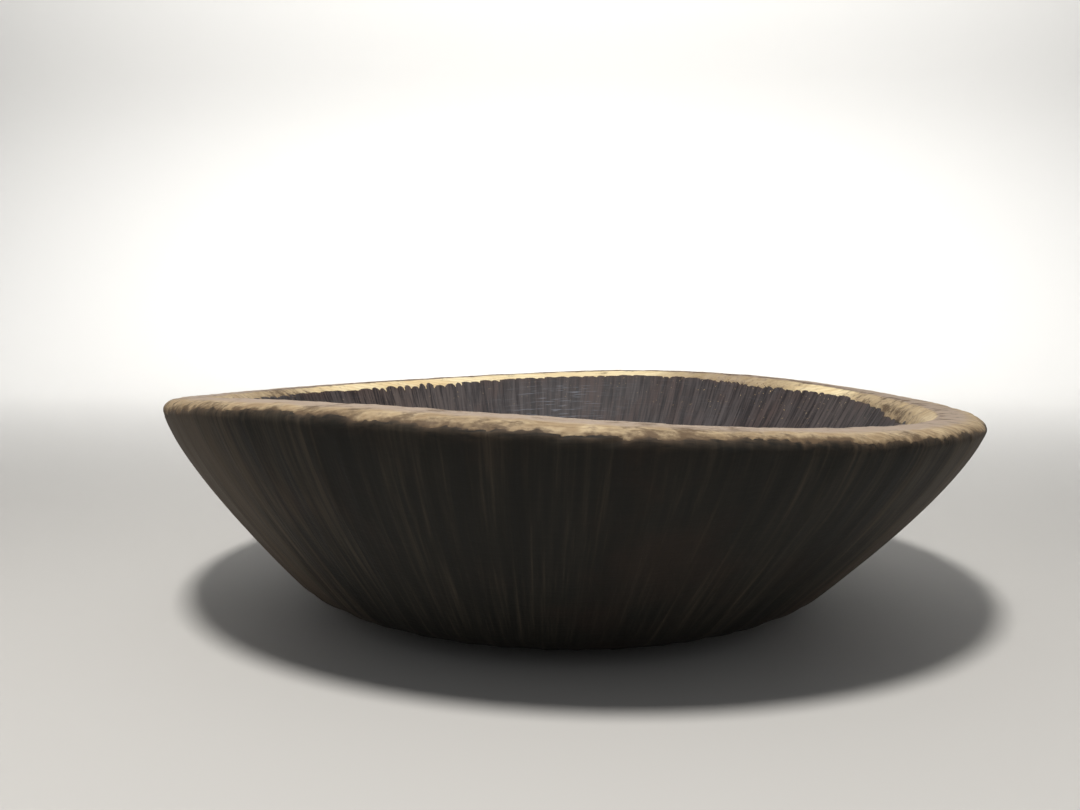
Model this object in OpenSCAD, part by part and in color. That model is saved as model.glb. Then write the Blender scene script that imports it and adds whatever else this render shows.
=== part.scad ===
// Hand-carved wooden bowl: one block of wood, dark finish inside and outside, lip and foot worn bare.
// The bowl stands on its flat foot at z = 0, with the middle of its rim above the origin.
// Azimuth 0 is along +X, the direction of the grain, and turns towards +Y.

/* [Rim] */
// Mean diameter at the widest point of the lip
rim_d = 400; // [250:5:500]
// How much longer the rim's radius is along the grain than the mean
rim_oval = 2; // [0:0.1:6]
// Width of the lip, from its widest point to its crest
lip_w = 18.5; // [12:0.5:22]
// How much wider the lip is at azimuth 0 than the mean
lip_lean = 1.5; // [0:0.5:4]
// Height of the crest above the widest point
lip_rise = 6.1; // [1:0.1:8]
// Width of the bare bevel between the crest and the hollow
bevel_w = 6.3; // [3:0.1:8]
// Height of that bevel
bevel_h = 3.7; // [2:0.1:8]

/* [Height and warp] */
// Mean height of the lip's widest point above the foot
rim_h = 100.8; // [80:0.2:140]
// Height of the tilt that drying left in the rim
tilt_h = 2.1; // [0:0.1:4]
// Azimuth of the tilt's high side
tilt_at = 221; // [0:1:359]
// Height of the saddle-shaped warp, two high sides and two low ones
saddle_h = 4.8; // [0:0.1:8]
// Azimuth of a high side of the saddle
saddle_at = 67; // [0:1:179]
// Height of the uneven hewing, three high places around the rim
hewing_h = 0.3; // [0:0.1:1.5]
// Azimuth of one of those three places
hewing_at = 96; // [0:1:119]
// Height of the slow ripple, four high places around the rim
ripple_h = 0.6; // [0:0.1:1.5]
// Azimuth of one of those four places
ripple_at = 60; // [0:1:89]

/* [Wall and foot] */
// How far the straight wall comes in by the foot, as a share of the rim's radius
wall_flare = 0.4; // [0.3:0.01:0.45]
// Roundness of the wall: 1 is a straight cone
wall_curve = 1.3; // [1:0.05:1.6]
// How far the wall turns in under itself at the foot, as a share of the rim's radius
foot_turn = 0.145; // [0.05:0.005:0.2]
// Height over which it turns in, as a share of the rim's height
foot_turn_h = 0.2; // [0.1:0.01:0.3]
// How far the foot lies off the middle of the rim, along X
foot_shift = -5.3; // [-8:0.1:8]

/* [Hollow] */
// Thickness of the wood under the hollow
floor_t = 18; // [12:1:30]
// Shape of the hollow: higher has a flatter floor and steeper sides
hollow_curve = 4; // [3.4:0.1:4.5]

/* [Finish] */
// Thickness of the dark coats
coat_t = 0.4; // [0.3:0.1:1]

/* [Hidden] */

segments = 72;      // points around every ring
wall_rings = 11;    // rings from the foot to the widest point
hollow_rings = 11;  // rings from the bevel to the smallest ring on the floor
wall_crowding = 1.6; // above 1, the rings lie closer together near the foot
turn_curve = 3;     // how sharply the foot turns in
shoulder_in = 0.2;  // the lip's rounded shoulder, as a share of its width
shoulder_up = 0.75; // and of its rise
small_step = 0.001; // step in the profile over which its slope is taken
floor_ring = 0.25;  // the smallest ring on the floor, as a share of the hollow's radius

rim_r = rim_d / 2;
last_ring = wall_rings;               // ring at the lip's widest point
first_coat_ring = 1;                  // the outer coat stops above the worn foot
bevel_ring = wall_rings + 3;          // ring at the bevel's lower edge
last_hollow_ring = bevel_ring + hollow_rings;

// Height of the lip's widest point at azimuth a
function edge_h(a) =
    rim_h
    + tilt_h * cos(a - tilt_at)
    + saddle_h * cos(2 * (a - saddle_at))
    + hewing_h * cos(3 * (a - hewing_at))
    + ripple_h * cos(4 * (a - ripple_at));

// Radius of the lip's widest point at azimuth a
function edge_r(a) = rim_r + rim_oval * cos(2 * a);

// Width of the lip at azimuth a
function lip_at(a) = lip_w + lip_lean * cos(a);

// Outer wall as [radius, height], t from 0 at the foot to 1 at the widest point
function wall(t, a) = [
    edge_r(a) * (1 - wall_flare * pow(max(0, 1 - t), wall_curve)
                   - foot_turn * pow(max(0, 1 - t / foot_turn_h), turn_curve)),
    t * edge_h(a)
];

// Hollow as [radius, height], u from 0 at the middle of the floor to 1 at the bevel
function hollow_top(a) = [edge_r(a) - lip_at(a) - bevel_w, edge_h(a) + lip_rise - bevel_h];
function hollow(u, a) = [
    hollow_top(a)[0] * u,
    floor_t + (hollow_top(a)[1] - floor_t) * pow(u, hollow_curve)
];

// Steps along the wall and across the hollow
function wall_step(k) = pow(k / wall_rings, wall_crowding);
function hollow_step(k) = 1 - (1 - floor_ring) * pow(k / hollow_rings, 1 / wall_crowding);

// The whole profile as [radius, height] at ring k: up the wall, over the lip, down into the hollow
function profile(k, a) =
    k <= last_ring ? wall(wall_step(k), a) :
    k == last_ring + 1 ? [edge_r(a) - shoulder_in * lip_at(a), edge_h(a) + shoulder_up * lip_rise] :
    k == last_ring + 2 ? [edge_r(a) - lip_at(a), edge_h(a) + lip_rise] :
    hollow(hollow_step(k - bevel_ring), a);

// Outward direction of the wood in the profile's plane, on the wall and in the hollow
function slope(p, q) = let (d = q - p) [d[1], -d[0]] / norm(d);
function wall_out(k, a) =
    let (t = wall_step(k)) slope(wall(t - small_step, a), wall(min(1, t + small_step), a));
function hollow_out(k, a) =
    let (u = hollow_step(k - bevel_ring)) slope(hollow(u, a), hollow(u - small_step, a));
function out(k, a) = k <= last_ring ? wall_out(k, a) : hollow_out(k, a);

// The foot lies off centre, and the shift fades out towards the rim
function shift_at(z) = foot_shift * max(0, 1 - z / rim_h);
function place(p, a) = [p[0] * cos(a) + shift_at(p[1]), p[0] * sin(a), p[1]];

// One ring of points, raised off the wood by t
function azimuth(j) = 360 * j / segments;
function ring(k, t = 0) = [
    for (j = [0:segments - 1])
        let (a = azimuth(j))
        place(t == 0 ? profile(k, a) : profile(k, a) + t * out(k, a), a)
];
function rings(first, last, t = 0) = [for (k = [first:last]) each ring(k, t)];
function floor_middle(t = 0) = [shift_at(floor_t), 0, floor_t + t];

// Triangles between the rings that start at points a and b, and between a ring and one point
function turned(triangles, flip) =
    flip ? [for (f = triangles) [f[2], f[1], f[0]]] : triangles;
function band(a, b, flip = false) = turned([
    for (j = [0:segments - 1])
        let (next = (j + 1) % segments)
        each [[a + j, b + next, a + next], [a + j, b + j, b + next]]
], flip);
function bands(start, count, flip = false) = [
    for (k = [0:count - 1]) each band(start + k * segments, start + (k + 1) * segments, flip)
];
function fan(tip, a, flip = false) = turned([
    for (j = [0:segments - 1]) [tip, a + j, a + (j + 1) % segments]
], flip);

// The block of wood: foot, wall, lip, bevel and hollow
module bowl_body() {
    foot_middle = last_hollow_ring * segments + segments;
    hollow_middle = foot_middle + 1;
    points = concat(rings(0, last_hollow_ring), [[foot_shift, 0, 0]], [floor_middle()]);
    faces = concat(
        fan(foot_middle, 0),
        bands(0, last_hollow_ring),
        fan(hollow_middle, last_hollow_ring * segments, true)
    );
    color("#b8935c") polyhedron(points, faces);
}

// The dark finish in the hollow, up to the lower edge of the bevel
module inner_coat() {
    count = hollow_rings;
    back = (count + 1) * segments;
    back_middle = 2 * back;
    points = concat(
        rings(bevel_ring, last_hollow_ring, coat_t),
        rings(bevel_ring, last_hollow_ring),
        [floor_middle()],
        [floor_middle(coat_t)]
    );
    faces = concat(
        bands(0, count),
        fan(back_middle + 1, count * segments, true),
        bands(back, count, true),
        fan(back_middle, back + count * segments),
        band(0, back, true)
    );
    color("#2f2a2c") polyhedron(points, faces);
}

// The dark finish on the outside, from just above the foot to the widest point of the lip
module outer_coat() {
    count = last_ring - first_coat_ring;
    back = (count + 1) * segments;
    points = concat(
        rings(first_coat_ring, last_ring, coat_t),
        rings(first_coat_ring, last_ring)
    );
    faces = concat(
        bands(0, count),
        bands(back, count, true),
        band(0, back, true),
        band(count * segments, back + count * segments)
    );
    color("#332c25") polyhedron(points, faces);
}

bowl_body();
inner_coat();
outer_coat();
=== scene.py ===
"""A wide bowl carved from one block of wood, stained dark, with its rim worn back to bare wood.

Three pieces stand for the three layers of the design: the carved wood, the dark finish in the hollow
and the dark finish on the outside. All of them are shaped on one grid of rings (from the middle of the
foot, up the wall, over the lip and down into the hollow) and columns (round the bowl), so the finish
follows every gouge cut in the wood.
"""

import math

import bmesh
import bpy
import numpy as np
from mathutils import Matrix, Vector, noise


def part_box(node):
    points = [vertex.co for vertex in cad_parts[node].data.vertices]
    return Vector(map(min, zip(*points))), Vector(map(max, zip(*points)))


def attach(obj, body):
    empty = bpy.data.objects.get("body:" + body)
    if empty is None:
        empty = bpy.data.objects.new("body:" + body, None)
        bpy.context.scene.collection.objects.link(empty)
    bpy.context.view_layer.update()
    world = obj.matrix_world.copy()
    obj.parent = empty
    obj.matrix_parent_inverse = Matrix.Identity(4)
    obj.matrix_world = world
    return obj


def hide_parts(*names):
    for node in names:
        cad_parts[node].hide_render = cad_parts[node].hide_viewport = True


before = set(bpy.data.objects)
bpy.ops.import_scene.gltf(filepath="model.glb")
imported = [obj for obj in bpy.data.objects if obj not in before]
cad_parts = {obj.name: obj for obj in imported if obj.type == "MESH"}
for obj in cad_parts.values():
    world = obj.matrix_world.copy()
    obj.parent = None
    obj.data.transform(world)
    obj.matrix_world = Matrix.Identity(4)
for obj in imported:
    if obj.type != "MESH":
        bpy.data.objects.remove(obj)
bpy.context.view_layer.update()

MM = 0.001
rng = np.random.default_rng(12)

# ---------------------------------------------------------------- the bowl's form

wood_low, wood_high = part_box("bowl_body")
RIM_RADIUS = (wood_high.x - wood_low.x + wood_high.y - wood_low.y) / 4
RIM_OVAL = (wood_high.x - wood_low.x - wood_high.y + wood_low.y) / 4

EDGE_HEIGHT = 100.8 * MM  # mean height of the lip's widest point
WARPS = (  # (height, high places round the rim, azimuth of one of them)
    (2.1 * MM, 1, 221),
    (4.8 * MM, 2, 67),
    (0.3 * MM, 3, 96),
    (0.6 * MM, 4, 60),
)
LIP_WIDTH = 18.5 * MM
LIP_LEAN = 1.5 * MM
LIP_RISE = 6.1 * MM
CORNER_WIDTH = 0.34  # the lip's rounded outer corner, as a share of its width
CORNER_RISE = 0.8  # and of its rise
BEVEL_WIDTH = 6.3 * MM
BEVEL_DROP = 3.7 * MM
WALL_FLARE = 0.4
WALL_CURVE = 1.3
FOOT_TURN = 0.145
FOOT_TURN_HEIGHT = 0.2
FOOT_TURN_CURVE = 3.0
FOOT_SHIFT = -5.3 * MM
FLOOR_THICKNESS = 18.0 * MM
HOLLOW_CURVE = 4.0

# ---------------------------------------------------------------- the carver's marks

FLUTES = 132  # long gouge cuts round the top of the hollow
COLUMNS_PER_FLUTE = 8
COLUMNS = FLUTES * COLUMNS_PER_FLUTE


def uneven_edges(count, unevenness, turn=0.0, widths=1.0):
    """Azimuths where `count` cuts of slightly different widths meet, once round the bowl."""
    widths = widths * (1 + unevenness * (rng.random(count) - 0.5))
    return turn + np.concatenate([[0], np.cumsum(widths)]) * 2 * math.pi / widths.sum()


even_azimuths = np.arange(FLUTES) * 360 / FLUTES
narrower = 1 - 0.45 * np.exp(-(((even_azimuths - 127) / 14) ** 2))  # a run of narrow cuts at the back left
flute_edges = uneven_edges(FLUTES, 1.0, widths=narrower)
column_places = np.arange(COLUMNS) / COLUMNS_PER_FLUTE
azimuth = np.interp(column_places, np.arange(FLUTES + 1), flute_edges)


def high_places(a, height, count, at):
    """How far one of the rim's slow waves lifts it at an azimuth."""
    return height * np.cos(count * (a - math.radians(at)))


edge_height = EDGE_HEIGHT + sum(high_places(azimuth, *warp) for warp in WARPS)
edge_radius = RIM_RADIUS + RIM_OVAL * np.cos(2 * azimuth)
lip_width = LIP_WIDTH + LIP_LEAN * np.cos(azimuth)
hollow_radius = edge_radius - lip_width - BEVEL_WIDTH
hollow_height = edge_height + LIP_RISE - BEVEL_DROP


def foot_face(share):
    """The flat underside, from its middle (0) to its edge (1)."""
    radius = edge_radius * (1 - WALL_FLARE - FOOT_TURN) * share
    return radius, np.zeros_like(azimuth)


def wall(share):
    """The outside, from the foot's edge (0) to the lip's widest point (1)."""
    flare = WALL_FLARE * (1 - share) ** WALL_CURVE
    turn = FOOT_TURN * max(0.0, 1 - share / FOOT_TURN_HEIGHT) ** FOOT_TURN_CURVE
    return edge_radius * (1 - flare - turn), edge_height * share


def lip(share):
    """The lip, from its widest point (0), round its outer corner and up to the crest (1)."""
    across = share**1.6
    corner = math.sqrt(1 - (1 - min(1.0, across / CORNER_WIDTH)) ** 2)
    up = CORNER_RISE * corner + (1 - CORNER_RISE) * across
    return edge_radius - lip_width * across, edge_height + LIP_RISE * up


def bevel(share):
    """The smooth bare bevel, from the crest (0) to the top of the gouge cuts (1)."""
    radius = edge_radius - lip_width - BEVEL_WIDTH * share
    return radius, edge_height + LIP_RISE - BEVEL_DROP * share


def hollow(share):
    """The hollow, from the top of the gouge cuts (0) to the middle of the floor (1)."""
    out = 1 - share
    depth = hollow_height - FLOOR_THICKNESS
    return hollow_radius * out, FLOOR_THICKNESS + depth * out**HOLLOW_CURVE


def even_steps(curve, distances):
    """Shares of a curve that lie at these distances along it, measured on its mean section."""
    fine = np.linspace(0, 1, 2001)
    points = np.array([[values.mean() for values in curve(share)] for share in fine])
    way = np.concatenate([[0], np.cumsum(np.hypot(*np.diff(points, axis=0).T))])
    return np.interp(distances, way, fine), way[-1]


def steps(*stops):
    """Distances from 0, closest together where detail is finest: (stop, step) pairs, one after another."""
    ways = [0.0]
    for stop, step in stops:
        ways.extend(np.linspace(ways[-1], stop, max(2, round((stop - ways[-1]) / step) + 1))[1:])
    return np.array(ways)


_, hollow_length = even_steps(hollow, [0])
_, wall_length = even_steps(wall, [0])
hollow_ways = steps((8 * MM, 0.7 * MM), (44 * MM, 1.6 * MM), (hollow_length, 4.0 * MM))[1:]
wall_ways = wall_length - steps((9 * MM, 0.75 * MM), (wall_length, 3.3 * MM))[::-1]

STRETCHES = (  # each stretch of the section, with the shares of it where its rings lie
    ("foot", foot_face, np.linspace(0, 1, 8)[:-1]),
    ("wall", wall, even_steps(wall, wall_ways)[0]),
    ("lip", lip, np.linspace(0, 1, 25)[1:]),
    ("bevel", bevel, np.linspace(0, 1, 13)[1:]),
    ("hollow", hollow, even_steps(hollow, hollow_ways)[0]),
)


def section():
    """Radius and height of every ring at every column, and the rings that each stretch takes."""
    radii = []
    heights = []
    rings = {}
    for name, curve, shares in STRETCHES:
        first = len(radii)
        for share in shares:
            radius, height = curve(float(share))
            radii.append(radius)
            heights.append(height)
        rings[name] = slice(first, len(radii))
    return np.array(radii), np.array(heights), rings


def softened(rows, first, last, times):
    """The rows from first to last, each averaged with its neighbours a few times over."""
    rows = rows.copy()
    for _ in range(times):
        middle = rows[first:last]
        rows[first:last] = (rows[first - 1 : last - 1] + 2 * middle + rows[first + 1 : last + 1]) / 4
    return rows


radii, heights, RINGS = section()
widest = RINGS["wall"].stop - 1
crest = RINGS["lip"].stop - 1
bevel_foot = RINGS["bevel"].stop - 1
foot_edge = RINGS["wall"].start
ring_count = len(radii)
radii = softened(radii, crest - 3, crest + 6, 9)
heights = softened(heights, crest - 3, crest + 6, 9)
radii = softened(radii, bevel_foot - 3, bevel_foot + 4, 4)
heights = softened(heights, bevel_foot - 3, bevel_foot + 4, 4)
radii = softened(radii, foot_edge - 1, foot_edge + 2, 2)

mean_way = np.concatenate([
    [0],
    np.cumsum(np.hypot(np.diff(radii.mean(axis=1)), np.diff(heights.mean(axis=1)))),
])
down_wall = (mean_way[widest] - mean_way)[:, None]  # distance down from the widest point
down_hollow = (mean_way - mean_way[bevel_foot])[:, None]  # distance down into the hollow


def as_points(radii, heights):
    """Points of the rings, shifted along X where the foot sits off the rim's centre."""
    shift = FOOT_SHIFT * np.clip(1 - heights / EDGE_HEIGHT, 0, None)
    x = radii * np.cos(azimuth) + shift
    return np.stack([x, radii * np.sin(azimuth), heights], axis=-1)


def outward(points):
    """Unit normals of the grid, pointing out of the wood."""
    along = np.gradient(points, axis=0)
    around = np.roll(points, -1, axis=1) - np.roll(points, 1, axis=1)
    normals = np.cross(around, along)
    lengths = np.linalg.norm(normals, axis=-1, keepdims=True)
    flat = np.array([0.0, 0.0, 1.0])
    return np.where(lengths > 1e-12, normals / np.maximum(lengths, 1e-12), flat)


smooth = as_points(radii, heights)
normals = outward(smooth)
normals[0] = (0, 0, -1)
normals[-1] = (0, 0, 1)


def smoothstep(low, high, values):
    """0 below low, 1 above high, smooth between."""
    share = np.clip((values - low) / (high - low), 0, 1)
    return share * share * (3 - 2 * share)


def near(at, width):
    """1 at an azimuth in degrees, falling to 0 over a width in degrees on either side."""
    apart = np.angle(np.exp(1j * (azimuth - math.radians(at))))
    return np.exp(-((apart / math.radians(width)) ** 2))


def roughness(points, size, octaves=3, seed=0):
    """Fractal noise through the block at every point, for lumps of about this size."""
    shift = Vector((seed * 7.3, seed * 3.1, seed * 5.7))
    flat = points.reshape(-1, 3) / size
    values = [noise.fractal(Vector(p) + shift, 1.0, 2.0, octaves) for p in flat]
    return np.array(values).reshape(points.shape[:-1])


def around_noise(seed, slowest, fastest, terms=12):
    """Smooth noise round the bowl, between about -1 and 1."""
    draw = np.random.default_rng(seed)
    values = np.zeros(COLUMNS)
    for _ in range(terms):
        count = draw.integers(slowest, fastest + 1)
        values += np.cos(count * azimuth + draw.uniform(0, 2 * math.pi))
    return values / math.sqrt(terms / 2) / 1.6


def in_cut(edges):
    """For each column: which cut it lies in, and where across it, from -1 to 1."""
    turned = np.mod(azimuth - edges[0], 2 * math.pi) + edges[0]
    which = np.clip(np.searchsorted(edges, turned, side="right") - 1, 0, len(edges) - 2)
    left = edges[which]
    right = edges[which + 1]
    return which, 2 * (turned - left) / (right - left) - 1


def spread(values, amount):
    """One random value a cut, around a mean, within amount on either side."""
    return values + amount * (2 * rng.random(np.shape(values)) - 1)


# The long flutes start in an arch under the bevel, so bare wood hangs in points between them.
flute, across = in_cut(flute_edges)
flute_azimuth = (flute_edges[:-1] + flute_edges[1:]) / 2


def near_flute(at, width):
    """As near, with one value for each flute."""
    apart = np.angle(np.exp(1j * (flute_azimuth - math.radians(at))))
    return np.exp(-((apart / math.radians(width)) ** 2))


ragged = near_flute(126, 11) + 0.3 * near_flute(250, 40)
arch_rise = spread(np.full(FLUTES, 1.0), 0.5) * MM + ragged * spread(np.full(FLUTES, 2.4), 2.2) * MM
arch_top = spread(np.full(FLUTES, -0.5), 0.6) * MM + ragged * spread(np.full(FLUTES, 0.0), 1.2) * MM
arch_top = arch_top + near_flute(44, 14) * spread(np.full(FLUTES, 2.2), 0.9) * MM
arch_top = arch_top + near_flute(357, 13) * spread(np.full(FLUTES, 7.5), 1.5) * MM
flute_depth = spread(np.full(FLUTES, 0.2), 0.1) * MM
arch_line = arch_top[flute] + arch_rise[flute] * np.abs(across) ** 2.4
below_arch = down_hollow - arch_line
rise = np.clip(1 - (down_hollow - arch_top[flute]) / arch_rise[flute], 0, 1)
flute_cut = flute_depth[flute] * (1 - np.abs(across) ** 2.4 - rise)
flute_end = spread(np.full(FLUTES, 62.0), 9.0) * MM
fading = smoothstep(0, 26 * MM, down_hollow - flute_end[flute])
flute_cut = np.where(down_hollow < arch_top[flute], 0, flute_cut) - fading * 1.5 * MM


def row_of_cuts(count, start, end, depth):
    """A row of short scooped gouge strokes, each between about these distances into the hollow."""
    edges = uneven_edges(count, 0.5, turn=rng.uniform(0, 0.1))
    which, place = in_cut(edges)
    middle = spread(np.full(count, (start + end) / 2), 6 * MM)[which]
    half = spread(np.full(count, (end - start) / 2), 4 * MM)[which]
    deep = spread(np.full(count, depth), depth * 0.3)[which]
    return deep * (1 - place**2 - ((down_hollow - middle) / half) ** 2)


ROWS = (  # (cuts, start, end, depth), down the hollow and across its floor
    (112, 56 * MM, 104 * MM, 0.95 * MM),
    (84, 88 * MM, 138 * MM, 1.0 * MM),
    (58, 120 * MM, 168 * MM, 1.0 * MM),
    (36, 148 * MM, 196 * MM, 1.0 * MM),
    (18, 178 * MM, 226 * MM, 1.0 * MM),
)
hollow_cut = np.maximum(flute_cut, 0)
for row in ROWS:
    hollow_cut = np.maximum(hollow_cut, row_of_cuts(*row))


def scoops(points, length, width, depth):
    """Short scoops that meet in soft ridges, longer along X, as a gouge leaves on a level floor."""
    flat = points.reshape(-1, 3) / (length, width, 1.0)
    apart = [noise.voronoi(Vector((x, y, 0.0)))[0][0] for x, y, _ in flat]
    return depth * (1 - np.array(apart).reshape(points.shape[:-1]) ** 2 * 1.6)


on_floor = smoothstep(hollow_length - 75 * MM, hollow_length - 40 * MM, down_hollow)
hollow_cut = hollow_cut * (1 - on_floor) + on_floor * scoops(smooth, 30 * MM, 13 * MM, 0.9 * MM)
hollow_cut = np.where(down_hollow > -4 * MM, hollow_cut, 0)


def row_of_facets(count, start, end, depth):
    """A row of flat adze facets down the outside, joined by soft ridges."""
    edges = uneven_edges(count, 0.7, turn=rng.uniform(0, 0.1))
    which, place = in_cut(edges)
    middle = spread(np.full(count, (start + end) / 2), 8 * MM)[which]
    half = spread(np.full(count, (end - start) / 2), 8 * MM)[which]
    deep = spread(np.full(count, depth), depth * 0.5)[which]
    return deep * (1 - place**2 - 0.6 * ((down_wall - middle) / half) ** 2)


FACETS = (  # (facets, start, end, depth), down the outside
    (68, -6 * MM, 52 * MM, 0.42 * MM),
    (56, 30 * MM, 96 * MM, 0.5 * MM),
    (44, 80 * MM, 150 * MM, 0.5 * MM),
)
wall_cut = np.zeros_like(radii)
for row in FACETS:
    wall_cut = np.maximum(wall_cut, row_of_facets(*row))
wall_cut *= smoothstep(-1.5 * MM, 5 * MM, down_wall) * smoothstep(0, 9 * MM, heights)

on_lip = smoothstep(-1, 1, -down_wall / MM) * smoothstep(-1, 1, -down_hollow / MM)
lumps = roughness(smooth, 14 * MM, 3, seed=1)
pits = roughness(smooth, 3.2 * MM, 3, seed=2)
lip_cut = on_lip * (0.32 * MM * lumps + 0.14 * MM * pits)
nicks = smoothstep(0.28, 0.75, roughness(smooth, 8 * MM, 2, seed=3))
edge_zone = np.exp(-(((down_wall + 1.5 * MM) / (2.6 * MM)) ** 2))
lip_cut = lip_cut + edge_zone * nicks * 0.75 * MM

# Part of the bevel is scraped across rather than cut clean.
arc = RIM_RADIUS * azimuth[None, :]
slanted = np.stack([(arc + 0.8 * down_hollow) / (1.9 * MM), (arc - 0.8 * down_hollow) / (6 * MM)], axis=-1)
slanted = np.concatenate([slanted, np.zeros_like(slanted[..., :1])], axis=-1)
scraped = near(50, 14) * smoothstep(-7 * MM, -4 * MM, down_hollow)
scraped = scraped * smoothstep(-4 * MM, -1 * MM, -down_hollow)
lip_cut = lip_cut + scraped * 0.95 * MM * np.clip(roughness(slanted, 1.0, 2, seed=6) + 0.3, 0, None)

cut = hollow_cut + wall_cut + lip_cut
cut[0] = 0
cut[-1] = cut[-1].mean()
flat_foot = heights <= 1e-6
cut = np.where(flat_foot, 0, cut)
carved = smooth - normals * cut[..., None]

# ---------------------------------------------------------------- the dark finish

COAT = 0.16 * MM
UNDER_COAT = 0.12 * MM  # how far the worn edge of the finish dips below the wood


def coat_depth(inside):
    """Thickness of the finish, from a distance inside its worn edge; below 0 it is worn off."""
    return (COAT + UNDER_COAT) * smoothstep(-0.5 * MM, 0.5 * MM, inside) - UNDER_COAT


crumbs = roughness(smooth, 2.6 * MM, 2, seed=4)
patches = roughness(smooth, 18 * MM, 3, seed=5)
hollow_inside = below_arch + 0.35 * MM * crumbs + 0.4 * MM * patches
hollow_coat = coat_depth(hollow_inside)

worn_line = (-2.7 + 0.8 * around_noise(21, 3, 24) + 0.6 * around_noise(22, 24, 110)) * MM
worn_line = worn_line + (5.5 * near(205, 8) + 1.2 * near(330, 14) + 1.4 * near(269, 4)) * MM
wall_inside = down_wall - worn_line + 1.1 * MM * crumbs + 1.4 * MM * patches
wall_coat = coat_depth(wall_inside)

# ---------------------------------------------------------------- pieces


def sheet_of_rings(name, rows, closed):
    """A grid with a row for each ring, rolled up round the bowl; closed joins the last to the first."""
    rows = np.concatenate([rows, rows[:1]]) if closed else rows
    bm = bmesh.new()
    bmesh.ops.create_grid(bm, x_segments=COLUMNS, y_segments=len(rows) - 1, size=0.5)
    mesh = bpy.data.meshes.new(name)
    bm.to_mesh(mesh)
    bm.free()
    flat = np.empty(len(mesh.vertices) * 3)
    mesh.vertices.foreach_get("co", flat)
    flat = flat.reshape(-1, 3) + 0.5
    column = np.rint(flat[:, 0] * COLUMNS).astype(int) % COLUMNS
    row = np.rint(flat[:, 1] * (len(rows) - 1)).astype(int)
    mesh.vertices.foreach_set("co", rows[row, column].ravel())
    return mesh, row, column


def add_layer(mesh, name, values):
    """One number for each point, which a material can read by this name."""
    layer = mesh.attributes.new(name, "FLOAT", "POINT")
    layer.data.foreach_set("value", values.astype(np.float32))


def add_run(mesh, rows, row, column):
    """Where each point lies on the section rolled out as an upright drum: marks run up and down it."""
    drum = np.stack([
        RIM_RADIUS * np.cos(azimuth)[column],
        RIM_RADIUS * np.sin(azimuth)[column],
        rows[row],
    ], axis=-1)
    layer = mesh.attributes.new("run", "FLOAT_VECTOR", "POINT")
    layer.data.foreach_set("vector", drum.astype(np.float32).ravel())


def finished(mesh, name, node, material):
    """Joins the seam and the poles, turns every face outwards and puts the piece in the bowl."""
    bm = bmesh.new()
    bm.from_mesh(mesh)
    bmesh.ops.remove_doubles(bm, verts=bm.verts, dist=1e-7)
    bmesh.ops.dissolve_degenerate(bm, dist=1e-8, edges=bm.edges)
    bmesh.ops.recalc_face_normals(bm, faces=bm.faces)
    bm.to_mesh(mesh)
    bm.free()
    mesh.shade_smooth()
    mesh.materials.append(material)
    piece = bpy.data.objects.new(name, mesh)
    bpy.context.scene.collection.objects.link(piece)
    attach(piece, "root")
    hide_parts(node)
    return piece


def every(first, last, step):
    """Ring numbers from first up to last, a step apart."""
    return list(range(first, last, step))


# ---------------------------------------------------------------- materials


class Shades:
    """A material's nodes, added one after another."""

    def __init__(self, name):
        self.material = bpy.data.materials.new(name)
        self.material.use_nodes = True
        self.nodes = self.material.node_tree.nodes
        self.links = self.material.node_tree.links
        self.shader = self.nodes["Principled BSDF"]

    def add(self, kind, inputs=None, **settings):
        node = self.nodes.new(kind)
        for key, value in settings.items():
            setattr(node, key, value)
        for key, value in (inputs or {}).items():
            self.put(node.inputs[key], value)
        return node

    def put(self, socket, value):
        if isinstance(value, bpy.types.NodeSocket):
            self.links.new(value, socket)
        else:
            socket.default_value = value

    def maths(self, operation, first, second=0.0, clamp=False):
        node = self.add("ShaderNodeMath", {0: first, 1: second}, operation=operation)
        node.use_clamp = clamp
        return node.outputs[0]

    def ramp(self, value, low, high):
        """0 below low, 1 above high, smooth between."""
        node = self.add("ShaderNodeMapRange", {"Value": value, "From Min": low, "From Max": high})
        node.interpolation_type = "SMOOTHSTEP"
        return node.outputs[0]

    def layer(self, name, output="Fac"):
        return self.add("ShaderNodeAttribute", attribute_name=name).outputs[output]

    def around_half(self, value, amount):
        """A pattern shifted to lie around 0, and scaled."""
        return self.maths("MULTIPLY", self.maths("SUBTRACT", value, 0.5), amount)

    def stretched(self, vector, scale):
        node = self.add("ShaderNodeVectorMath", {0: vector, 1: scale}, operation="MULTIPLY")
        return node.outputs[0]

    def grain(self, vector, scale, detail=4.0, distortion=0.0):
        node = self.add("ShaderNodeTexNoise", {
            "Vector": self.stretched(vector, scale),
            "Scale": 1.0,
            "Detail": detail,
            "Roughness": 0.6,
            "Distortion": distortion,
        })
        return node.outputs["Fac"]

    def mix(self, share, first, second):
        node = self.add("ShaderNodeMix", data_type="RGBA")
        self.put(node.inputs[0], share)
        self.put(node.inputs[6], first)
        self.put(node.inputs[7], second)
        return node.outputs[2]

    def blend(self, share, first, second):
        return self.add("ShaderNodeMix", {0: share, 2: first, 3: second}).outputs[0]

    def bump(self, height, distance, below=None):
        inputs = {"Height": height, "Distance": distance, "Strength": 1.0}
        if below is not None:
            inputs["Normal"] = below
        return self.add("ShaderNodeBump", inputs).outputs[0]

    def finish(self, colour, rough, normal):
        self.put(self.shader.inputs["Base Color"], colour)
        self.put(self.shader.inputs["Roughness"], rough)
        self.put(self.shader.inputs["Normal"], normal)
        return self.material


def colour(red, green, blue):
    """An opaque colour."""
    return (red, green, blue, 1.0)


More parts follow.
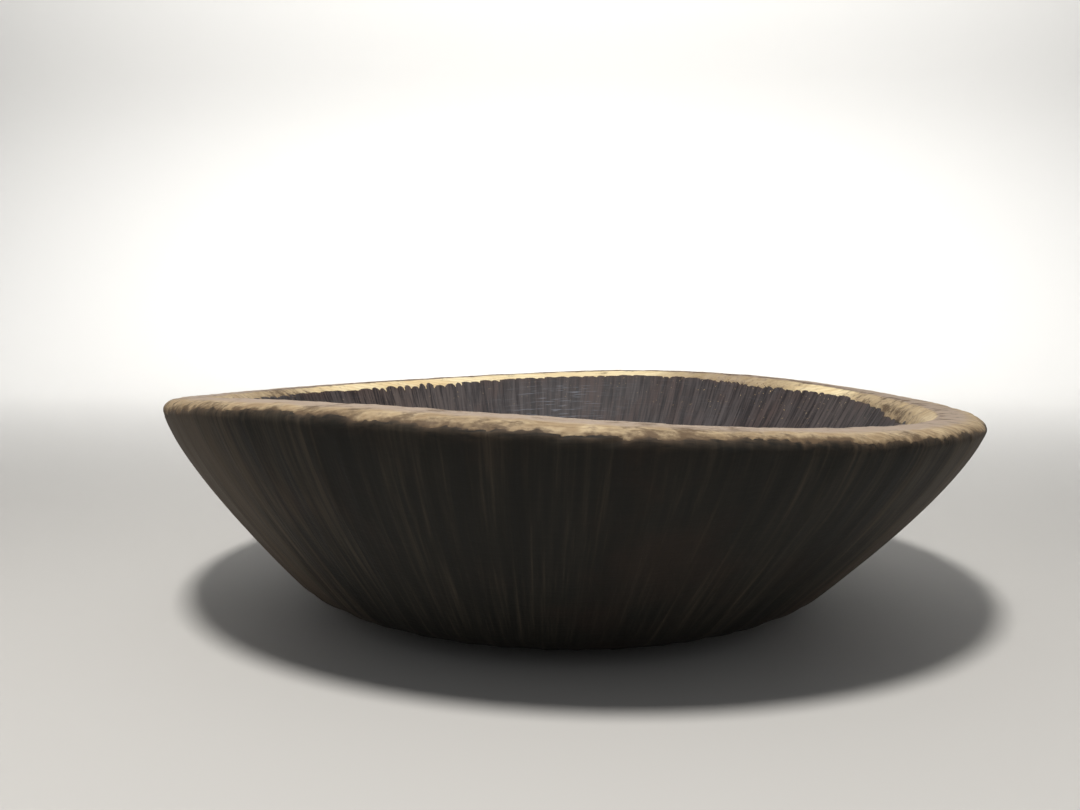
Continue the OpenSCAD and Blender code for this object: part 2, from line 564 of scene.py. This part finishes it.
GOLDEN = colour(0.72, 0.55, 0.30)
PALE_GOLD = colour(0.84, 0.72, 0.46)
LATE_WOOD = colour(0.50, 0.34, 0.17)
WORN_TAN = colour(0.29, 0.205, 0.115)
WORN_PALE = colour(0.48, 0.37, 0.225)
GREYED = colour(0.31, 0.240, 0.182)
BROWNED = colour(0.115, 0.075, 0.042)
# dark brown for soiled wood and for the painted shadow line above the hollow's finish
GRIME_AND_SHADOW_LINE = colour(0.030, 0.021, 0.014)
HOLLOW_DARK = colour(0.018, 0.0145, 0.0155)
HOLLOW_LIGHT = colour(0.064, 0.055, 0.057)
HOLLOW_RED = colour(0.066, 0.045, 0.042)
HOLLOW_RIDGE = colour(0.085, 0.072, 0.070)
HOLLOW_DUSTY = colour(0.115, 0.090, 0.078)
# pale bluish-white for the painted glints in the hollow
PAINTED_GLINT = colour(0.30, 0.32, 0.38)
WALL_DARK = colour(0.0065, 0.0060, 0.0045)
WALL_LIGHT = colour(0.019, 0.0165, 0.0120)
WALL_RED = colour(0.026, 0.014, 0.009)
# grey-brown for the painted sheen on the outside's flanks
WALL_FLANK_SHEEN = colour(0.074, 0.056, 0.039)


def bare_wood():
    """Bare wood with its grain along X: gold where fresh, tan or grey where handled, brown and darker
    where soiled, a painted highlight on the bevel at the right and a painted shadow line just above the
    finish in the hollow.
    """
    s = Shades("bare_wood")
    place = s.add("ShaderNodeTexCoord").outputs["Object"]
    # growth rings lie round the log's heart, which ran under the block
    from_heart = s.add("ShaderNodeVectorMath", {0: place, 1: (0.0, 0.03, -0.11)}, operation="SUBTRACT")
    flat = s.stretched(from_heart.outputs[0], (0.0, 1.0, 1.0))
    distance = s.add("ShaderNodeVectorMath", {0: flat}, operation="LENGTH").outputs["Value"]
    waver = s.grain(place, (5.0, 14.0, 14.0), 3.0)
    rings = s.maths("ADD", s.maths("MULTIPLY", distance, 420.0), s.maths("MULTIPLY", waver, 9.0))
    late = s.ramp(s.maths("FRACT", rings), 0.45, 0.98)
    fibres = s.grain(place, (26.0, 520.0, 520.0), 5.0)
    tone = s.grain(place, (14.0, 60.0, 60.0), 3.0)
    blotch = s.grain(place, (110.0, 190.0, 190.0), 5.0)
    patch = s.grain(place, (30.0, 60.0, 60.0), 3.0)
    speck = s.grain(place, (420.0, 700.0, 700.0), 3.0)

    fresh = s.mix(s.ramp(tone, 0.3, 0.7), GOLDEN, PALE_GOLD)
    fresh = s.mix(s.maths("MULTIPLY", late, 0.35), fresh, LATE_WOOD)
    fresh = s.mix(s.maths("MULTIPLY", s.ramp(fibres, 0.52, 0.72), 0.35), fresh, LATE_WOOD)
    worn = s.mix(s.ramp(blotch, 0.36, 0.62), WORN_TAN, WORN_PALE)
    worn = s.mix(s.maths("MULTIPLY", s.ramp(fibres, 0.45, 0.65), 0.35), worn, BROWNED)
    handled = s.ramp(s.maths("ADD", s.layer("handled"), s.around_half(blotch, 0.9)), 0.2, 0.8)
    shown = s.mix(handled, fresh, worn)
    greyed = s.ramp(s.maths("ADD", s.layer("greyed"), s.around_half(blotch, 1.6)), 0.15, 0.95)
    shown = s.mix(greyed, shown, GREYED)
    patchy = s.maths("ADD", s.around_half(blotch, 2.6), s.around_half(patch, 1.6))
    patchy = s.maths("ADD", patchy, s.around_half(speck, 0.9))
    browned = s.ramp(s.maths("ADD", s.layer("browned"), patchy), 0.25, 1.05)
    shown = s.mix(browned, shown, BROWNED)
    # darker where soiled, with the painted shadow line above the hollow's finish
    dirt_and_shadow_line = s.ramp(s.maths("ADD", s.layer("grime_and_shadow_line"), s.maths("MULTIPLY", patchy, 0.4)), 0.35, 1.0)
    shown = s.mix(dirt_and_shadow_line, shown, GRIME_AND_SHADOW_LINE)

    rough = s.maths("ADD", 0.58, s.maths("MULTIPLY", fibres, 0.3))
    pores = s.ramp(s.grain(place, (90.0, 1500.0, 1500.0), 2.0), 0.62, 0.74)
    height = s.maths("SUBTRACT", fibres, s.maths("MULTIPLY", pores, 0.6))
    normal = s.bump(s.maths("ADD", height, s.maths("MULTIPLY", speck, 0.8)), 0.00022)
    s.shader.inputs["Specular IOR Level"].default_value = 0.3
    return s.finish(shown, rough, normal)


def hollow_stain():
    """The dark finish in the hollow: drawn-out gouge streaks, chatter across them, painted pale glints on
    the chatter, and a redder thin finish along its top edge that also stands in as a painted shadow line.
    """
    s = Shades("hollow_stain")
    run = s.layer("run", "Vector")
    place = s.add("ShaderNodeTexCoord").outputs["Object"]
    streaks = s.blend(
        s.layer("floor"),
        s.grain(run, (620.0, 620.0, 45.0), 4.0),
        s.grain(place, (60.0, 340.0, 340.0), 4.0, 0.5),
    )
    broad = s.blend(
        s.layer("floor"),
        s.grain(run, (210.0, 210.0, 18.0), 3.0),
        s.grain(place, (40.0, 110.0, 110.0), 3.0, 0.5),
    )
    chatter = s.grain(run, (60.0, 60.0, 900.0), 2.0)
    cloud = s.grain(place, (30.0, 30.0, 30.0), 3.0)
    speck = s.grain(place, (520.0, 520.0, 520.0), 1.0)
    tone = s.maths("ADD", s.maths("MULTIPLY", streaks, 0.6), s.maths("MULTIPLY", broad, 0.4))
    light = s.mix(s.ramp(cloud, 0.42, 0.62), HOLLOW_LIGHT, HOLLOW_RED)
    stain = s.mix(s.ramp(tone, 0.38, 0.64), HOLLOW_DARK, light)
    ridges = s.maths("MULTIPLY", s.layer("ridge"), s.ramp(streaks, 0.35, 0.65))
    stain = s.mix(s.maths("MULTIPLY", ridges, 0.2), stain, HOLLOW_RIDGE)
    # painted glints: pale bluish-white dashes along the chatter
    glints = s.maths("MULTIPLY", s.layer("painted_glints"), s.ramp(chatter, 0.53, 0.74))
    stain = s.mix(s.maths("MULTIPLY", glints, 0.42), stain, PAINTED_GLINT)
    dusty = s.maths("MULTIPLY", s.layer("dusty"), s.ramp(tone, 0.4, 0.62))
    stain = s.mix(dusty, stain, HOLLOW_DUSTY)
    flecks = s.maths("MULTIPLY", s.layer("flecked"), s.ramp(speck, 0.68, 0.78))
    stain = s.mix(flecks, stain, s.mix(s.ramp(streaks, 0.4, 0.6), LATE_WOOD, WORN_PALE))
    # thin finish at the top edge turns dark reddish, standing in as a painted shadow line under the bare
    # bevel
    thin = s.maths("MULTIPLY", s.layer("thin"), s.ramp(cloud, 0.3, 0.6))
    stain = s.mix(s.maths("MULTIPLY", thin, 0.5), stain, colour(0.07, 0.035, 0.022))
    rough = s.maths("ADD", 0.46, s.maths("MULTIPLY", streaks, 0.34))
    normal = s.bump(streaks, 0.0002)
    level = s.maths("SUBTRACT", 1.0, s.layer("floor"))
    normal = s.bump(s.maths("MULTIPLY", chatter, level), 0.00014, normal)
    s.shader.inputs["Specular IOR Level"].default_value = 0.3
    return s.finish(stain, rough, normal)


def wall_stain():
    """The dark, smoky finish outside: matt brown-black, with tool streaks, redder thin places and a
    painted grey-brown sheen on the left and right flanks.
    """
    s = Shades("wall_stain")
    run = s.layer("run", "Vector")
    place = s.add("ShaderNodeTexCoord").outputs["Object"]
    streaks = s.grain(run, (420.0, 420.0, 18.0), 5.0)
    broad = s.grain(run, (90.0, 90.0, 9.0), 3.0)
    fibres = s.grain(place, (30.0, 600.0, 600.0), 4.0)
    cloud = s.grain(place, (16.0, 16.0, 16.0), 4.0)
    tone = s.maths("ADD", s.maths("MULTIPLY", streaks, 0.55), s.maths("MULTIPLY", broad, 0.45))
    stain = s.mix(s.ramp(tone, 0.38, 0.68), WALL_DARK, WALL_LIGHT)
    red = s.maths("MULTIPLY", s.ramp(cloud, 0.48, 0.7), 0.4)
    stain = s.mix(red, stain, WALL_RED)
    # painted sheen: lighter grey-brown on the flanks
    flank_sheen = s.maths("ADD", s.layer("flank_sheen"), s.around_half(tone, 2.4))
    stain = s.mix(s.ramp(flank_sheen, 0.1, 1.1), stain, WALL_FLANK_SHEEN)
    thin = s.maths("MULTIPLY", s.layer("thin"), s.ramp(fibres, 0.3, 0.6))
    stain = s.mix(s.maths("MULTIPLY", thin, 0.7), stain, colour(0.085, 0.056, 0.034))
    rough = s.maths("ADD", 0.6, s.maths("MULTIPLY", streaks, 0.3))
    normal = s.bump(s.maths("ADD", streaks, s.maths("MULTIPLY", fibres, 0.5)), 0.00028)
    s.shader.inputs["Specular IOR Level"].default_value = 0.25
    return s.finish(stain, rough, normal)


# ---------------------------------------------------------------- making the pieces

far_side = np.exp(-((np.angle(np.exp(1j * (azimuth - math.radians(84)))) / math.radians(82)) ** 6))
fresh_gold_and_highlight = np.exp(-((np.angle(np.exp(1j * (azimuth - math.radians(111)))) / math.radians(42)) ** 6))
# the narrow spot at 28° is a painted highlight on the bevel; the rest is fresh bare wood
fresh_gold_and_highlight = np.clip(fresh_gold_and_highlight + 0.8 * near(28, 8) + 0.5 * near(300, 40), 0, 1)
on_bevel = smoothstep(0, 1.4, (down_hollow + 7.0 * MM) / MM)
handled = 1 - on_bevel * (0.25 + 0.75 * fresh_gold_and_highlight)
from_edge = -down_wall / MM  # millimetres in from the lip's widest point
greyed = smoothstep(4, 15, from_edge) * (1 - on_bevel) + 0.45 * near(54, 13) * on_bevel
low_on_bevel = smoothstep(-4 * MM, 0, down_hollow)
browned = 0.12 + 0.45 * near(205, 8) + (0.3 * near(8, 14) + 0.2 * near(163, 12)) * on_bevel
browned = browned + 0.4 * near(160, 14) * low_on_bevel + 0.35 * near(3, 10) * low_on_bevel
browned = browned + (0.1 + 0.2 * near(258, 6) + 0.15 * near(289, 7)) * (1 - on_bevel)
browned = browned + 0.8 * np.exp(-np.clip(-wall_inside, 0, None) / (2.4 * MM))
browned = browned * (1 - 0.9 * fresh_gold_and_highlight * on_bevel)
crest_line = np.exp(-(((down_hollow + 8.2 * MM) / (1.5 * MM)) ** 2)) * (0.25 + 0.75 * far_side)
browned = browned + 0.75 * crest_line
near_finish = np.exp(-np.clip(-wall_inside, 0, None) / (0.9 * MM))
# painted shadow line on the bare bevel, just above the top edge of the finish in the hollow
painted_shadow_line = 0.35 * np.exp(-np.clip(-hollow_inside, 0, None) / (0.5 * MM))
grime_and_shadow_line = 0.65 * near_finish + painted_shadow_line * on_bevel
grime_and_shadow_line = grime_and_shadow_line + smoothstep(0, 3 * MM, down_wall) + smoothstep(4 * MM, 9 * MM, down_hollow)

rows_of_wood = (
    every(0, foot_edge, 2)
    + every(foot_edge, widest - 12, 4)
    + every(widest - 12, bevel_foot + 13, 1)
    + every(bevel_foot + 13, ring_count - 1, 4)
    + [ring_count - 1]
)
hidden = smoothstep(7 * MM, 14 * MM, down_hollow) + smoothstep(6 * MM, 12 * MM, down_wall)
hidden = hidden * smoothstep(2 * MM, 9 * MM, heights)
wood_points = carved - normals * (1.2 * MM * hidden)[..., None]
mesh, row, column = sheet_of_rings("carved_wood", wood_points[rows_of_wood], closed=False)
picked = np.array(rows_of_wood)[row]
wear = (("handled", handled), ("greyed", greyed), ("browned", browned), ("grime_and_shadow_line", grime_and_shadow_line))
for layer_name, values in wear:
    add_layer(mesh, layer_name, values[picked, column])
finished(mesh, "carved_wood", "bowl_body", bare_wood())


def skin(rows, coat, backs, sunk):
    """Points of a finish: its face on the wood along rows, then its back, sunk into the wood."""
    face = carved[rows] + normals[rows] * coat[rows][..., None]
    back = smooth[backs] - normals[backs] * sunk
    return np.concatenate([face, back]), np.array(rows + backs)


INNER_START = bevel_foot - 4
face_rows = every(INNER_START, ring_count, 1)
back_rows = [ring_count - 1] + every(ring_count - 2, INNER_START, -9) + [INNER_START]
inner, inner_rings = skin(face_rows[::-1], hollow_coat, back_rows[::-1], 2.2 * MM)
mesh, row, column = sheet_of_rings("hollow_finish", inner, closed=False)
picked = inner_rings[row]
ridge = np.clip(1 - hollow_cut / (0.35 * MM), 0, 1) * smoothstep(2 * MM, 8 * MM, down_hollow)
# painted glints on the far wall of the hollow below the bevel, faint all round
painted_glints = near(92, 11) * smoothstep(1 * MM, 10 * MM, down_hollow)
painted_glints = painted_glints * (1 - smoothstep(48 * MM, 84 * MM, down_hollow)) + 0.06
dusty = 0.12 + 0.6 * near(132, 15) + 0.3 * near(20, 12) + 0 * down_hollow
floor = smoothstep(90 * MM, 130 * MM, down_hollow) + 0 * azimuth
# thin finish along the top edge, kept dark reddish as a painted shadow line
thin_edge_and_shadow_line = np.exp(-np.clip(hollow_inside, 0, None) / (1.2 * MM))
flecked = (0.2 + 0.8 * near(42, 20)) * (1 - smoothstep(4 * MM, 34 * MM, down_hollow))
wear = (
    ("ridge", ridge),
    ("painted_glints", painted_glints),
    ("thin", thin_edge_and_shadow_line),
    ("flecked", flecked),
    ("dusty", dusty),
    ("floor", floor),
)
for layer_name, values in wear:
    add_layer(mesh, layer_name, values[picked, column])
add_run(mesh, down_hollow[:, 0], picked, column)
finished(mesh, "hollow_finish", "inner_coat", hollow_stain())

OUTER_START = foot_edge + 3
OUTER_END = widest + 14
face_rows = every(OUTER_START, OUTER_END, 1)
back_rows = [OUTER_END - 1] + every(OUTER_END - 6, OUTER_START, -7) + [OUTER_START]
outer, outer_rings = skin(face_rows, wall_coat, back_rows, 2.2 * MM)
mesh, row, column = sheet_of_rings("outside_finish", outer, closed=True)
picked = np.concatenate([outer_rings, outer_rings[:1]])[row]
thin_wall = np.exp(-np.clip(wall_inside, 0, None) / (1.6 * MM))
# painted sheen on the left and right flanks (206° and 334°), fainter all round and at the back
flank_sheen = np.zeros_like(radii) + 0.1 + 1.1 * near(206, 22) + 0.9 * near(334, 18) + 0.3 * near(80, 60)
for layer_name, values in (("thin", thin_wall), ("flank_sheen", flank_sheen)):
    add_layer(mesh, layer_name, values[picked, column])
add_run(mesh, down_wall[:, 0], picked, column)
finished(mesh, "outside_finish", "outer_coat", wall_stain())

# ---------------------------------------------------------------- floor, light and camera


def plain(name, shade, rough):
    """A material of one even colour."""
    s = Shades(name)
    s.shader.inputs["Base Color"].default_value = shade
    s.shader.inputs["Roughness"].default_value = rough
    return s.material


def sweep():
    """A pale floor that curves up into a backdrop well behind the bowl."""
    front, curve_start, curve_radius, top = -5.0, 1.3, 0.8, 3.0
    bm = bmesh.new()
    bmesh.ops.create_grid(bm, x_segments=2, y_segments=120, size=0.5)
    turn_length = curve_radius * math.pi / 2
    length = curve_start - front + turn_length + top
    for vert in bm.verts:
        way = (vert.co.y + 0.5) * length + front - curve_start
        turn = min(max(way / curve_radius, 0.0), math.pi / 2)
        y = curve_start + min(way, 0.0) + curve_radius * math.sin(turn)
        z = curve_radius * (1 - math.cos(turn)) + max(way - turn_length, 0.0)
        vert.co = (vert.co.x * 12, y, z)
    mesh = bpy.data.meshes.new("floor")
    bm.to_mesh(mesh)
    bm.free()
    mesh.shade_smooth()
    mesh.materials.append(plain("pale_floor", colour(0.52, 0.505, 0.48), 0.8))
    made = bpy.data.objects.new("floor", mesh)
    bpy.context.scene.collection.objects.link(made)


def aimed(obj, target):
    """Turns a lamp to face a point."""
    obj.rotation_euler = (Vector(target) - obj.location).to_track_quat("-Z", "Y").to_euler()


def softbox(name, place, target, width, height, watts, tint, spread_angle=180):
    """A soft oval lamp."""
    light = bpy.data.lights.new(name, "AREA")
    light.shape = "ELLIPSE"
    light.size = width
    light.size_y = height
    light.spread = math.radians(spread_angle)
    light.energy = watts
    light.color = tint
    lamp = bpy.data.objects.new(name, light)
    bpy.context.scene.collection.objects.link(lamp)
    lamp.location = place
    aimed(lamp, target)


def studio():
    """A small key lamp over the bowl, a lamp for the backdrop and a dim, even sky."""
    softbox("key", (-0.093, -0.470, 1.0), (0, 0, 0.05), 0.16, 0.16, 12.0, (1.0, 0.985, 0.96))
    softbox("backdrop_light", (0.0, 1.0, 2.8), (0, 2.1, 0.6), 4.0, 0.5, 62.0, (0.97, 0.985, 1.0), 90)
    world = bpy.data.worlds.new("studio")
    world.use_nodes = True
    sky = world.node_tree.nodes["Background"]
    sky.inputs["Color"].default_value = colour(0.95, 0.97, 1.0)
    sky.inputs["Strength"].default_value = 0.28
    bpy.context.scene.world = world
    bpy.context.scene.view_settings.view_transform = "Standard"


def camera():
    """Low in front of the bowl, looking a little down and a little to its left."""
    data = bpy.data.cameras.new("camera")
    data.sensor_width = 36.0
    data.lens = 31.54
    eye = bpy.data.objects.new("camera", data)
    bpy.context.scene.collection.objects.link(eye)
    eye.location = (0.0, -2.513 * RIM_RADIUS, 0.7145 * RIM_RADIUS)
    look_down = math.radians(4.915)
    turn_left = math.radians(1.81)
    tilt = math.radians(0.19)
    facing = Matrix.Rotation(turn_left, 3, "Z") @ Matrix.Rotation(math.pi / 2 - look_down, 3, "X")
    eye.rotation_euler = (facing @ Matrix.Rotation(tilt, 3, "Z")).to_euler()
    bpy.context.scene.camera = eye


sweep()
studio()
camera()
